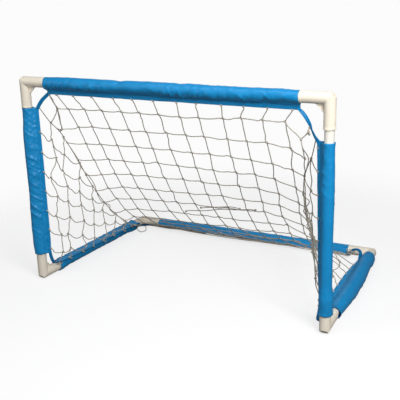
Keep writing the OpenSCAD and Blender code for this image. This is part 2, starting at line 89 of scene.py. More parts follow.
class Wire:
    """A node's output that can be used in sums and fed to other nodes."""

    def __init__(self, tree, socket):
        self.tree = tree
        self.socket = socket

    def out(self, place):
        """Another output of the node that this wire comes from."""
        return Wire(self.tree, self.socket.node.outputs[place])

    def math(self, operation, *values):
        """A Math node on the given values, in this wire's tree."""
        return add(self.tree, "ShaderNodeMath", {"operation": operation},
                   dict(enumerate(values)))

    def __add__(self, other):
        return self.math("ADD", self, other)

    def __sub__(self, other):
        return self.math("SUBTRACT", self, other)

    def __rsub__(self, other):
        return self.math("SUBTRACT", other, self)

    def __mul__(self, other):
        return self.math("MULTIPLY", self, other)

    def __truediv__(self, other):
        return self.math("DIVIDE", self, other)

    def __rtruediv__(self, other):
        return self.math("DIVIDE", other, self)

    def sine(self):
        return self.math("SINE", self)

    __radd__ = __add__
    __rmul__ = __mul__


def plug(tree, socket, value):
    """Links a wire or a list of wires to a socket, or sets it to a plain value."""
    if isinstance(value, Wire):
        tree.links.new(value.socket, socket)
    elif isinstance(value, list):
        for wire in value:
            plug(tree, socket, wire)
    else:
        socket.default_value = value


def add(tree, kind, settings=None, inputs=None, out=0):
    """A new node with its settings and inputs; gives one of its outputs, if any."""
    made = tree.nodes.new(kind)
    for name, value in (settings or {}).items():
        setattr(made, name, value)
    for name, value in (inputs or {}).items():
        plug(tree, made.inputs[name], value)
    return Wire(tree, made.outputs[out]) if made.outputs else None


def noise(tree, place, scale, detail, roughness=0.5):
    """Noise from 0 to 1 over a place in space, at a scale per metre."""
    return add(tree, "ShaderNodeTexNoise", {}, {
        "Vector": place, "Scale": scale, "Detail": detail, "Roughness": roughness})


def ramp(tree, value, low, high):
    """A smooth mask over value: 0 up to low, and 1 from high on."""
    return add(tree, "ShaderNodeMapRange", {"interpolation_type": "SMOOTHSTEP"}, {
        "Value": value, "From Min": low, "From Max": high})


def mix(tree, share, first, second):
    """A colour between two, by share. The node's socket names repeat."""
    return add(tree, "ShaderNodeMix", {"data_type": "RGBA"},
               {0: share, 6: first, 7: second}, out=2)


def bump(tree, height, distance, strength=1.0, normal=None):
    """A normal from a height of 0 to 1 that stands for distance in metres."""
    inputs = {"Height": height, "Distance": distance, "Strength": strength}
    if normal is not None:
        inputs["Normal"] = normal
    return add(tree, "ShaderNodeBump", {}, inputs)


def material(name, build, **settings):
    """A Principled material; build gets the tree and gives the wired inputs."""
    made = bpy.data.materials.new(name)
    made.use_nodes = True
    tree = made.node_tree
    shader = tree.nodes["Principled BSDF"]
    for key, value in settings.items():
        shader.inputs[key.replace("_", " ")].default_value = value
    for key, value in build(tree).items():
        plug(tree, shader.inputs[key], value)
    return made


def moulded(tree):
    """Cream moulding: faintly cloudy, with a fine grain and duller scuffs."""
    place = add(tree, "ShaderNodeTexCoord", out="Object")
    cloudy = noise(tree, place, 28, 3)
    grain = noise(tree, place, 2600, 2)
    scuffs = noise(tree, place, 160, 4, 0.62)
    return {
        "Base Color": mix(tree, cloudy, (0.87, 0.785, 0.65, 1), (0.93, 0.855, 0.72, 1)),
        "Roughness": 0.34 + ramp(tree, scuffs, 0.45, 0.7) * 0.16,
        "Normal": bump(tree, grain * 0.6 + cloudy * 0.4, 0.00006),
    }


def drawn(tree):
    """White extruded tube: glossier than the moulding, with fine drawn lines."""
    place = add(tree, "ShaderNodeTexCoord", out="Object")
    lines = noise(tree, place, 900, 1)
    cloudy = noise(tree, place, 20, 2)
    return {
        "Base Color": mix(tree, cloudy, (0.89, 0.85, 0.76, 1), (0.93, 0.90, 0.82, 1)),
        "Roughness": 0.28 + cloudy * 0.12,
        "Normal": bump(tree, lines, 0.00003),
    }


elbow_plastic = material("elbow_plastic", moulded, IOR=1.5)
tube_plastic = material("tube_plastic", drawn, IOR=1.5)

for name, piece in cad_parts.items():
    if name.endswith("elbow") or "ferrule" in name or "tube" in name:
        bare = "tube" in name
        piece.data.materials.clear()
        piece.data.materials.append(tube_plastic if bare else elbow_plastic)


# ------------------------------------------------------- the cloth sleeves
# Each sleeve is one width of coated blue cloth, folded round its bar. The
# two edges are stitched into a flat strip, which the net pulls on.

GIRTH = 0.116
CLOTH = 0.0008
# The cloth's outer face round a bare tube, and how much more over an elbow's leg
BARE, OVER_LEG = 0.01335, 0.0032
# The strip's edge from the bar's centre line, and its width
STRIP_REACH, STRIP = 0.0340, 0.0115
# Half the strip's thickness, and how its edge is rounded down to TIP
STRIP_GAP, ROUNDED, TIP = 0.0011, 0.0006, 0.0004
# The hems at a sleeve's ends and the strip's seam, from the cloth's edge
HEM, SEAM = 0.0075, 0.0085
HEM_RIDGE, PUCKER, PUCKER_PITCH = 0.00035, 0.0011, 0.007
FLOOR_GAP = 0.0003
# The mesh: points round a sleeve, and the distance from ring to ring along it
ROUND, RING_STEP = 88, 0.0023
WEAVE = 0.0007
# How far the net has turned each strip, in degrees, at even steps along it
TURNS = {"crossbar": (11, 11), "rear": (2, 2), "left_post": (16, 17), "right_post": (42, 17),
         "left_base": (42, 36, 34, 33, 28), "right_base": (26, 12, -18)}
# Each sleeve fills these in: its strip's edge at a distance, and lines to sew
strips, seam_lines = {}, []


def centre(node):
    """The middle of a CAD node's box."""
    low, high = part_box(node)
    return np.array((low + high) / 2)


crossbar = centre("crossbar_ferrule")
rear_bar = centre("rear_ferrule")
left_post = centre("left_post_tube")
right_post = centre("right_post_tube")
front_corners = {"left": np.array((*left_post[:2], rear_bar[2])),
                 "right": np.array((*right_post[:2], rear_bar[2]))}
rear_corners = {hand: 2 * centre(hand + "_base_tube") - front_corners[hand]
                for hand in ("left", "right")}


def smooth(low, high, value):
    """A step from 0 at low to 1 at high, with soft ends."""
    t = np.clip((value - low) / (high - low), 0, 1)
    return t * t * (3 - 2 * t)


def ripple(x, y, seed):
    """Smooth random waves over a plane, from -1 to 1, about one per unit."""
    grid = np.random.default_rng(seed).uniform(-1, 1, (64, 64))
    x, y = np.broadcast_arrays(np.asarray(x, float), np.asarray(y, float))
    i, j = np.floor(x).astype(int), np.floor(y).astype(int)
    u, v = x - i, y - j
    u, v = u * u * (3 - 2 * u), v * v * (3 - 2 * v)

    def at(a, b):
        return grid[(i + a) % 64, (j + b) % 64]

    return ((at(0, 0) * (1 - u) + at(1, 0) * u) * (1 - v)
            + (at(0, 1) * (1 - u) + at(1, 1) * u) * v)


def mesh_piece(name, points, faces, paint, uv):
    """A smooth mesh piece that rides the frame, with UVs in metres of cloth."""
    data = bpy.data.meshes.new(name)
    data.from_pydata(points, [], faces)
    data.materials.append(paint)
    data.shade_smooth()
    layer = data.uv_layers.new(name="cloth")
    corners = np.empty(len(data.loops), int)
    data.loops.foreach_get("vertex_index", corners)
    layer.data.foreach_set("uv", np.asarray(uv, np.float32)[corners].ravel())
    made = bpy.data.objects.new(name, data)
    bpy.context.scene.collection.objects.link(made)
    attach(made, "root")
    return made


def teardrop(wrap, slack, reach):
    """A sleeve's outline across its bar, as (out, side), from the tip round.

    wrap is the radius of what it covers and slack how far its bag hangs off,
    as (out, side). Also gives the distance of each point round the outline."""
    gap, turn_in = STRIP_GAP, reach - ROUNDED
    r = wrap + math.hypot(*slack)
    root = reach - STRIP
    d = np.array((root, gap)) - slack
    tangent = math.acos(min(r / np.linalg.norm(d), 1))
    begin = math.atan2(d[1], d[0]) + tangent
    d = np.array((root, -gap)) - slack
    finish = 2 * math.pi + math.atan2(d[1], d[0]) - math.acos(min(r / np.linalg.norm(d), 1))
    arc = np.linspace(begin, finish, 60)
    line = np.concatenate([
        [[reach, TIP], [turn_in, gap], [root, gap]],
        np.stack([slack[0] + r * np.cos(arc), slack[1] + r * np.sin(arc)], 1),
        [[root, -gap], [turn_in, -gap], [reach, -TIP], [reach, TIP]]])
    step = np.r_[0, np.cumsum(np.linalg.norm(np.diff(line, axis=0), axis=1))]
    round_ = np.linspace(0, step[-1], ROUND, endpoint=False)
    ring = np.stack([np.interp(round_, step, line[:, k]) for k in (0, 1)], 1)
    for _ in range(4):
        ring[4:-4] = (ring[3:-5] + 2 * ring[4:-4] + ring[5:-3]) / 4
    return ring, round_


def folds(seed, lean=0.5, height=0.0019, spread=0.5):
    """How far the cloth stands off at (s, round): soft swells and sharp folds.

    Creases run two ways, at lean, and gather at the ends. Tucks fan out from
    the strip, where the cloth is pulled."""
    def stand(s, round_, length):
        swell = ripple(s / 0.050, round_ / 0.035, seed)
        u = (s + lean * round_) / 0.024
        w = (round_ - lean * s * 0.5) / 0.065
        crest = 1 - np.abs(ripple(u, w, seed + 1)) * 2.2
        u = (s - 0.8 * lean * round_) / 0.033
        other = 1 - np.abs(ripple(u, round_ / 0.05, seed + 2)) * 2.4
        where = smooth(-0.1 - spread, 0.9 - spread, ripple(s / 0.085, round_ / 0.06, seed + 3))
        ends = np.exp(-s / 0.025) + np.exp(-(length - s) / 0.025)
        sharp = np.clip(crest, 0, 1) ** 1.6 + 0.7 * np.clip(other, 0, 1) ** 1.6
        pulled = smooth(0.15, 0.7, np.abs(2 * round_ / GIRTH - 1))
        u = (s + 0.9 * lean * np.abs(round_ - GIRTH / 2)) / 0.0125
        tucks = np.clip(1 - np.abs(ripple(u, round_ / 0.05, seed + 4)) * 2.0, 0, 1) ** 1.4
        return height * (0.35 + 0.4 * swell + sharp * (where + 0.5 * ends) * (0.3 + pulled)
                         + 0.75 * tucks * pulled * (0.35 + where))
    return stand


def sleeve(name, start, end, level, up, stand, slack, cover=None, *, seed):
    """A sewn sleeve from start to end. Its strip points level, turned to up.

    stand gives its folds, slack gives how its bag hangs at a distance s, and
    cover gives the radius of what it lies on there."""
    start, end, level, up = (np.asarray(v, float) for v in (start, end, level, up))
    length = float(np.linalg.norm(end - start))
    ahead = (end - start) / length

    def outward(s):
        turns = TURNS[name]
        turn = np.radians(np.interp(s, np.linspace(0, length, len(turns)), turns))
        return level * np.cos(turn) + up * np.sin(turn)

    strips[name] = lambda s, reach=STRIP_REACH: start + ahead * s + outward(s) * reach
    outer, inner, uv, sewn = [], [], [], ([], [])
    rings = int(length / RING_STEP)
    stations = np.linspace(0, length, rings)
    for s in stations:
        out = outward(s)
        side = np.cross(ahead, out)
        wrap = cover(s, length) if cover else BARE
        reach = STRIP_REACH - 0.55 * (wrap - BARE) + 0.0006 * ripple(s / 0.03, 0.5, seed)
        ring, round_ = teardrop(wrap, np.asarray(slack(s, length), float), reach)
        spread = np.roll(ring, -1, 0) - np.roll(ring, 1, 0)
        normal = np.stack([spread[:, 1], -spread[:, 0]], 1)
        normal /= np.maximum(np.linalg.norm(normal, axis=1, keepdims=True), 1e-9)
        tuck = reach - ring[:, 0]
        loose = smooth(STRIP, 2 * STRIP, tuck)
        puckers = np.exp(-((tuck - STRIP - 0.003) / 0.007) ** 2)
        off = (stand(s, round_, length) * loose
               + PUCKER * puckers * ripple(s / PUCKER_PITCH, ring[:, 1] * 300, seed + 7)
               + sum(HEM_RIDGE * (smooth(HEM + 0.0010, HEM - 0.0005, from_end)
                                  - np.exp(-((from_end - HEM) / 0.0008) ** 2))
                     for from_end in (s, length - s)))
        place = start + ahead * s
        for shell, lift in ((outer, off), (inner, off - CLOTH)):
            at = ring + normal * np.asarray(lift)[:, None]
            shell.append(place + at[:, :1] * out + at[:, 1:] * side)
        for line, half in zip(sewn, (slice(0, 12), slice(-12, None))):
            line.append(outer[-1][half][np.argmin(np.abs(tuck[half] - SEAM))])
        uv.append(np.stack([round_, np.full_like(round_, s)], 1))
    for shell, floor_gap in ((outer, FLOOR_GAP), (inner, FLOOR_GAP + CLOTH)):
        for ring in shell:
            ring[:, 2] = np.maximum(ring[:, 2], floor_gap)
    for at in (HEM, length - HEM):
        ring = outer[int(np.argmin(np.abs(stations - at)))]
        seam_lines.append(np.concatenate([ring, ring[:1]]))
    seam_lines.extend(np.array(line) for line in sewn)
    k = np.arange(ROUND)
    n = (k + 1) % ROUND
    half, last = rings * ROUND, (rings - 1) * ROUND
    faces = []
    for a in range(0, last, ROUND):
        b = a + ROUND
        faces += np.stack([a + k, a + n, b + n, b + k], 1).tolist()
        faces += np.stack([half + a + n, half + a + k, half + b + k, half + b + n], 1).tolist()
    faces += np.stack([n, k, half + k, half + n], 1).tolist()
    faces += np.stack([last + k, last + n, half + last + n, half + last + k], 1).tolist()
    made = mesh_piece(name + "_cloth", np.concatenate(outer + inner), faces, sleeve_cloth,
                      np.concatenate(uv + uv))
    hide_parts(name + "_sleeve")


def woven(tree):
    """Blue coated cloth: a fine plain weave under fine crumples."""
    place = add(tree, "ShaderNodeTexCoord", out="UV")
    across = add(tree, "ShaderNodeSeparateXYZ", {}, {0: place})
    along = across.out("Y")
    turns = 2 * math.pi / WEAVE
    weave = (across * turns).sine() * (along * turns).sine() * 0.5 + 0.5
    where = add(tree, "ShaderNodeTexCoord", out="Object")
    crumple = noise(tree, where, 60, 5, 0.5)
    dye = noise(tree, where, 22, 2)
    return {
        "Base Color": mix(tree, dye, (0.002, 0.24, 0.56, 1), (0.004, 0.29, 0.64, 1)),
        "Roughness": 0.30 + crumple * 0.18,
        "Normal": bump(tree, crumple, 0.0017, 1.0, bump(tree, weave, 0.00008, 0.5)),
    }


sleeve_cloth = material("sleeve_cloth", woven, Specular_IOR_Level=0.5)


# Where the crossbar's sag is caught up: how far along, how wide and how much
CATCHES = ((0.243, 0.012, 1.0), (0.425, 0.011, 0.9))


def crossbar_bag(s, length):
    """The crossbar's cloth sags in lumps, with a dip at each catch."""
    lumps = 0.0014 + 0.0011 * ripple(s / 0.14, 0.3, 5)
    dips = sum(much * np.exp(-((s - at) / wide) ** 2) for at, wide, much in CATCHES)
    ends = smooth(0, 0.05, s) * smooth(0, 0.05, length - s)
    return -(lumps * (1 - 0.85 * dips)) * ends, 0


low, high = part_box("crossbar_sleeve")
sleeve("crossbar", (low[0], crossbar[1], crossbar[2]), (high[0], crossbar[1], crossbar[2]),
       (0, 0, -1), (0, 1, 0), folds(11, lean=0.7, height=0.0027, spread=0.62),
       crossbar_bag, seed=11)
low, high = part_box("rear_sleeve")
sleeve("rear", (low[0], rear_bar[1], rear_bar[2]), (high[0], rear_bar[1], rear_bar[2]),
       (0, -1, 0), (0, 0, 1), folds(31), lambda s, length: (-0.0003, 0), seed=31)


def over_leg(edge):
    """Cover radius along a sleeve that slips over an elbow's leg at its start."""
    return lambda s, length: BARE + OVER_LEG * smooth(edge + 0.045, edge, s)


# How far the post's and the base's cloth bags out on each side
for hand, sign, post, bag, base_bag in (("left", -1, left_post, 0.0028, 0.0),
                                        ("right", 1, right_post, 0.0010, 0.0058)):
    low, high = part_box(hand + "_post_sleeve")
    elbow_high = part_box("front_" + hand + "_elbow")[1]
    sleeve(hand + "_post", (post[0], post[1], low[2]), (post[0], post[1], high[2]),
           (-sign, 0, 0), (0, 1, 0), folds(41 + sign, lean=0.8, height=0.0015),
           lambda s, length: (-bag * smooth(-0.005, 0.045, s) * smooth(0, 0.10, length - s)
                              * (1 + 0.4 * ripple(s / 0.1, 0.6, 4)), 0),
           over_leg(elbow_high[2] - low[2]), seed=51 + sign)
    front, rear = front_corners[hand], rear_corners[hand]
    span = np.linalg.norm(rear - front)
    ahead = (rear - front) / span
    low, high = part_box(hand + "_base_sleeve")
    begin, finish = (low[1] - front[1]) / ahead[1], (high[1] - front[1]) / ahead[1]
    leg = elbow_high[2] - rear_bar[2]
    fore, aft = over_leg(leg - begin), over_leg(finish - (span - leg))
    sleeve(hand + "_base", front + ahead * begin, front + ahead * finish,
           np.cross((0, 0, sign), ahead), (0, 0, 1), folds(61 + sign, height=0.0015),
           lambda s, length: (-0.0008 - base_bag * math.sin(math.pi * min(s / length, 1)) ** 0.7,
                              sign * 0.0024 * smooth(0, 0.06, s) * smooth(0, 0.06, length - s)),
           lambda s, length: max(fore(s, length), aft(length - s, length)), seed=71 + sign)


# ------------------------------------------------------ the corner tapes
# Folded binding tape joins the strips of neighbouring sleeves round each
# corner, sewn in between their two layers. The rear right one stands in a loop.

def curve_through(places, steps):
    """Points of a smooth curve through the given places, steps to each stretch."""
    p = np.asarray(places, float)
    p = np.concatenate([[2 * p[0] - p[1]], p, [2 * p[-1] - p[-2]]])
    t = np.linspace(0, 1, steps, endpoint=False)[:, None]
    line = [0.5 * (2 * b + (c - a) * t + (2 * a - 5 * b + 4 * c - d) * t ** 2
                   + (3 * b - a - 3 * c + d) * t ** 3)
            for a, b, c, d in zip(p[:-3], p[1:-2], p[2:-1], p[3:])]
    return np.concatenate(line + [p[-2:-1]])


TAPE_THICK, TAPE_WIDE = 0.0015, 0.0105
RIB = 0.0012
# How far a tape's end is sewn in from the strip's end, and from its edge
TUCK_IN, TUCK_UNDER = 0.007, 0.006
# The mesh: points round a tape, and steps from place to place
TAPE_ROUND, TAPE_STEPS = 22, 14


def tape(name, places, across, widths, seed):
    """A tape through the places, whose width lies towards across.

    widths are the shares of its width that are spread flat along its length."""
    line = curve_through(places, TAPE_STEPS)
    share = np.linspace(0, 1, len(line))
    given = np.linspace(0, 1, len(across))
    lying = np.stack([np.interp(share, given, np.asarray(across, float)[:, k])
                      for k in range(3)], 1)
    width = TAPE_WIDE * np.interp(share, np.linspace(0, 1, len(widths)), widths)
    ahead = np.gradient(line, axis=0)
    ahead /= np.linalg.norm(ahead, axis=1, keepdims=True)
    lying -= ahead * (lying * ahead).sum(1, keepdims=True)
    lying /= np.linalg.norm(lying, axis=1, keepdims=True)
    normal = np.cross(ahead, lying)
    step = np.r_[0, np.cumsum(np.linalg.norm(np.diff(line, axis=0), axis=1))]
    angle = np.linspace(0, 2 * math.pi, TAPE_ROUND, endpoint=False)
    wide = np.sign(np.cos(angle)) * np.abs(np.cos(angle)) ** 0.7
    high = np.sign(np.sin(angle)) * np.abs(np.sin(angle)) ** 0.45
    points, uv = [], []
    for k, at in enumerate(line):
        crease = 0.0007 * ripple(step[k] / 0.012, wide * 1.3, seed)
        curl = 0.12 * width[k] * wide ** 2 * ripple(step[k] / 0.03, 0.5, seed + 1)
        off = high * TAPE_THICK / 2 + crease + curl
        points.append(at + lying[k] * (wide * width[k] / 2)[:, None] + normal[k] * off[:, None])
        uv.append(np.stack([wide * width[k] / 2, np.full_like(wide, step[k])], 1))
    last = (len(line) - 1) * TAPE_ROUND
    k = np.arange(TAPE_ROUND)
    n = (k + 1) % TAPE_ROUND
    faces = []
    for a in range(0, last, TAPE_ROUND):
        b = a + TAPE_ROUND
        faces += np.stack([a + k, a + n, b + n, b + k], 1).tolist()
    faces += [k[::-1].tolist(), (last + k).tolist()]
    made = mesh_piece(name, np.concatenate(points), faces, tape_cloth,
                      np.concatenate(uv))
    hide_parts(name.replace("_ribbon", "_tape"))
    for edge, near in ((0, -1), (TAPE_ROUND // 2, TAPE_ROUND // 2 + 1)):
        seam_lines.append(np.array([0.55 * p[near] + 0.45 * p[edge] for p in points]))


def bound(tree):
    """Blue binding tape, ribbed across its length, with painted shade: its colour is darker in
    the hollows of its crumples.
    """
    place = add(tree, "ShaderNodeTexCoord", out="UV")
    along = add(tree, "ShaderNodeSeparateXYZ", {}, {0: place}, out="Y")
    rib = (along * (2 * math.pi / RIB)).sine() * 0.5 + 0.5
    where = add(tree, "ShaderNodeTexCoord", out="Object")
    crumple = noise(tree, where, 160, 4, 0.6)
    return {
        # Painted shade: the crumple noise that sets the bump also darkens the colour where the
        # tape dips
        "Base Color": mix(tree, crumple, (0.002, 0.17, 0.42, 1), (0.004, 0.24, 0.55, 1)),
        "Normal": bump(tree, crumple, 0.0008, 1.0, bump(tree, rib, 0.00012, 0.7)),
    }


tape_cloth = material("tape_cloth", bound, Roughness=0.5, Specular_IOR_Level=0.3)


def tucked(name, end):
    """Where a tape is sewn into a sleeve's strip: at its start or its end."""
    low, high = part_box(name + "_sleeve")
    span = float(np.max(np.array(high) - np.array(low)))
    return strips[name](TUCK_IN if end == "start" else span - TUCK_IN, STRIP_REACH - TUCK_UNDER)


tape("top_left_ribbon",
     [tucked("crossbar", "start"), (-0.3765, -0.2635, 0.5574), (-0.3918, -0.2640, 0.5450),
      (-0.4038, -0.2645, 0.5310), tucked("left_post", "end")],
     [(0.5, 0.2, -0.85), (0.6, 0.35, -0.7), (0.7, 0.35, -0.6), (0.9, 0.26, -0.4)],
     [0.9, 0.95, 1.0, 1.0, 0.95], 3)
tape("top_right_ribbon",
     [tucked("crossbar", "end"), (0.3769, -0.2640, 0.5528), (0.3905, -0.2640, 0.5323),
      (0.3972, -0.2640, 0.5160), (0.4048, -0.2640, 0.5010), tucked("right_post", "end")],
     [(0.2, 0.97, 0.06), (0.85, 0.45, 0.40), (0.84, -0.10, 0.42), (0.70, -0.60, 0.37),
      (0.80, -0.40, 0.43), (0.90, 0.10, 0.30)],
     [0.9, 0.9, 0.85, 0.8, 0.85, 1.0], 5)
tape("front_left_ribbon",
     [tucked("left_post", "start"), (-0.4150, -0.2615, 0.0700), (-0.4150, -0.2540, 0.0520),
      (-0.4165, -0.2400, 0.0420), tucked("left_base", "start")],
     [(1, 0.2, 0), (1, 0.4, 0.2), (1, 0.3, 0.5), (0.6, 0.2, 0.8)],
     [1.0, 1.0, 1.0, 0.9], 7)
tape("front_right_ribbon",
     [tucked("right_post", "start"), (0.4215, -0.2560, 0.0480), (0.4190, -0.2590, 0.0290),
      (0.4195, -0.2510, 0.0190), (0.4160, -0.2330, 0.0250), tucked("right_base", "start")],
     [(-1, 0.6, 0), (-1, 0.5, 0.2), (-1, 0.3, 0.1), (-0.8, 0.3, 0.6), (-0.6, 0.2, 0.8)],
     [1.0, 1.0, 1.0, 0.9], 9)
tape("rear_left_ribbon",
     [tucked("left_base", "end"), (-0.3930, 0.2120, 0.0190), (-0.3720, 0.2290, 0.0170),
      tucked("rear", "start")],
     [(0.6, 0.2, 0.8), (0.3, -0.5, 0.8), (0.2, -0.6, 0.8), (0, -0.6, 0.7)],
     [0.9, 1.0, 1.0, 0.9], 11)
tape("rear_right_ribbon",
     [tucked("rear", "end"), (0.3565, 0.2330, 0.0125), (0.3610, 0.2290, 0.0240),
      (0.3735, 0.2265, 0.0355), (0.3880, 0.2255, 0.0370), (0.3955, 0.2240, 0.0290),
      tucked("right_base", "end")],
     [(0, 1, 0.2), (0.4, 0.6, -0.55), (0.1, 0.35, -0.85), (-0.5, 0.1, -0.7),
      (-0.8, -0.1, -0.5)],
     [0.9, 0.8, 0.9, 1.0, 0.9], 13)


# --------------------------------------------------------- the stitching
# Lockstitch in blue thread holds the strips shut and hems the sleeves' ends
# and the tapes' edges.

def evaluate(made, tree, values):
    """Puts a node tree on an object and keeps the result as a plain mesh."""
    modifier = made.modifiers.new(tree.name, "NODES")
    modifier.node_group = tree
    for item in tree.interface.items_tree:
        if item.name in values:
            modifier[item.identifier] = values[item.name]
    bpy.context.view_layer.update()
    graph = bpy.context.evaluated_depsgraph_get()
    result = bpy.data.meshes.new_from_object(made.evaluated_get(graph))
    made.modifiers.clear()
    made.data = result


def geometry_tree(name, inputs):
    """A geometry node tree with named inputs; gives the tree and those inputs."""
    tree = bpy.data.node_groups.new(name, "GeometryNodeTree")
    tree.interface.new_socket("Geometry", in_out="OUTPUT", socket_type="NodeSocketGeometry")
    tree.interface.new_socket("Geometry", in_out="INPUT", socket_type="NodeSocketGeometry")
    for label, kind, value in inputs:
        socket = tree.interface.new_socket(label, in_out="INPUT", socket_type=kind)
        if value is not None:
            socket.default_value = value
    source = add(tree, "NodeGroupInput")
    return tree, {s.name: Wire(tree, s) for s in source.socket.node.outputs if s.name}


def end_tree(tree, shape, paint):
    """Ends a geometry node tree in real meshes of one material."""
    shape = add(tree, "GeometryNodeRealizeInstances", {}, {"Geometry": shape})
    shape = add(tree, "GeometryNodeSetMaterial", {}, {"Geometry": shape, "Material": paint})
    add(tree, "NodeGroupOutput", {}, {0: shape})
    return tree


def lockstitch():
    """Tree that sets stitches nose to tail along a mesh's edges."""
    tree, given = geometry_tree("lockstitch", [
        ("Length", "NodeSocketFloat", 0.0027),
        ("Radius", "NodeSocketFloat", 0.00032),
        ("Pitch", "NodeSocketFloat", 0.0036),
        ("Seed", "NodeSocketInt", 9),
        ("Paint", "NodeSocketMaterial", None)])
    lines = add(tree, "GeometryNodeMeshToCurve", {}, {"Mesh": given["Geometry"]})
    lines = add(tree, "GeometryNodeResampleCurve", {"mode": "LENGTH"}, {
        "Curve": lines, "Length": given["Pitch"]})
    along = add(tree, "GeometryNodeInputTangent")
    facing = add(tree, "FunctionNodeAlignRotationToVector", {"axis": "Z"}, {"Vector": along})
    stitch = add(tree, "GeometryNodeMeshUVSphere", {}, {
        "Segments": 6, "Rings": 5, "Radius": 1.0})
    size = add(tree, "ShaderNodeCombineXYZ", {}, {
        "X": given["Radius"], "Y": given["Radius"], "Z": given["Length"] * 0.5})
    stitch = add(tree, "GeometryNodeTransform", {}, {"Geometry": stitch, "Scale": size})
    uneven = add(tree, "FunctionNodeRandomValue", {"data_type": "FLOAT_VECTOR"}, {
        0: (0.9, 0.9, 0.85), 1: (1.1, 1.1, 1.1), "Seed": given["Seed"]})
    sewn = add(tree, "GeometryNodeInstanceOnPoints", {}, {
        "Points": lines, "Instance": stitch, "Rotation": facing, "Scale": uneven})
    return end_tree(tree, sewn, given["Paint"])


def twisted(tree):
    """Sewing thread, a little brighter than the cloth."""
    where = add(tree, "ShaderNodeTexCoord", out="Object")
    fibres = noise(tree, where, 2500, 2)
    return {"Base Color": mix(tree, fibres, (0.006, 0.27, 0.58, 1), (0.012, 0.38, 0.74, 1)),
            "Normal": bump(tree, fibres, 0.0001)}


points, edges = [], []
for line in seam_lines:
    edges += [(len(points) + k, len(points) + k + 1) for k in range(len(line) - 1)]
    points += line.tolist()
data = bpy.data.meshes.new("stitching")
data.from_pydata(points, edges, [])
stitching = bpy.data.objects.new("stitching", data)
bpy.context.scene.collection.objects.link(stitching)
evaluate(stitching, lockstitch(),
         {"Paint": material("sewing_thread", twisted, Roughness=0.5)})
stitching.data.shade_smooth()
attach(stitching, "root")


# -------------------------------------------------------- the back net
# Knotted square netting of thin three-strand cord. It is tied through the
# crossbar's strip and falls, slack and swung to the left, to the rear strip.

class Netting:
    """Gathers cord runs and knots, to be laid as one mesh."""

    def __init__(self, seed):
        self.random = np.random.default_rng(seed)
        self.points, self.edges = [], []
        self.knots, self.rows, self.columns = [], [], []

    def lay(self, line):
        """A run of cord along the given points."""
        start = len(self.points)
        self.points += [tuple(p) for p in line]
        self.edges += [(start + k, start + k + 1) for k in range(len(line) - 1)]

    def bar(self, a, b, sag=0.03, kink=0.003, steps=13):
        """One side of a mesh, from knot to knot: it sags, and bends by its knots."""
        a, b = np.asarray(a, float), np.asarray(b, float)
        length = np.linalg.norm(b - a)
        t = np.linspace(0, 1, steps)[:, None]
        line = a + (b - a) * t + np.array((0, 0, -4.0)) * sag * length * t * (1 - t)
        across = np.cross((b - a) / max(length, 1e-6), self.random.normal(size=3))
        across /= np.linalg.norm(across)
        near = self.random.choice([0.17, 0.83]) + self.random.uniform(-0.05, 0.05)
        wave = np.exp(-((t - near) / 0.08) ** 2) * self.random.uniform(0.3, 1)
        bend = np.sin(2 * np.pi * t) * self.random.uniform(-0.6, 0.6)
        self.lay(line + across * kink * (wave + bend) * np.sqrt(np.sin(np.pi * t)))

    def knot(self, at, row=(1, 0, 0), column=(0, 0, -1)):
        """A knot that lies along the row and the column of cords it ties."""
        self.knots.append(tuple(at))
        self.rows.append(tuple(row))
        self.columns.append(tuple(column))

    def thread(self, places, steps=9, wobble=1e-9):
        """A smooth run of cord through the given places, give or take wobble."""
        places = np.asarray(places, float)
        off = self.random.normal(scale=wobble, size=places.shape)
        self.lay(curve_through(places + off, steps))

    def build(self, name, nodes):
        """The net as a mesh piece that stands for the given CAD nodes."""
        data = bpy.data.meshes.new(name)
        cords = len(self.points)
        data.from_pydata(self.points + self.knots, self.edges, [])
        pad = [(0, 0, 0)] * cords
        for label, kind, values in (
                ("knot", "BOOLEAN", [False] * cords + [True] * len(self.knots)),
                ("row", "FLOAT_VECTOR", pad + self.rows),
                ("column", "FLOAT_VECTOR", pad + self.columns)):
            layer = data.attributes.new(label, kind, "POINT")
            key = "vector" if kind == "FLOAT_VECTOR" else "value"
            layer.data.foreach_set(key, np.array(values).ravel())
        made = bpy.data.objects.new(name, data)
        bpy.context.scene.collection.objects.link(made)
        evaluate(made, cord_tree, {"Paint": net_cord})
        made.data.shade_smooth()
        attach(made, "root")
        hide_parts(*nodes)


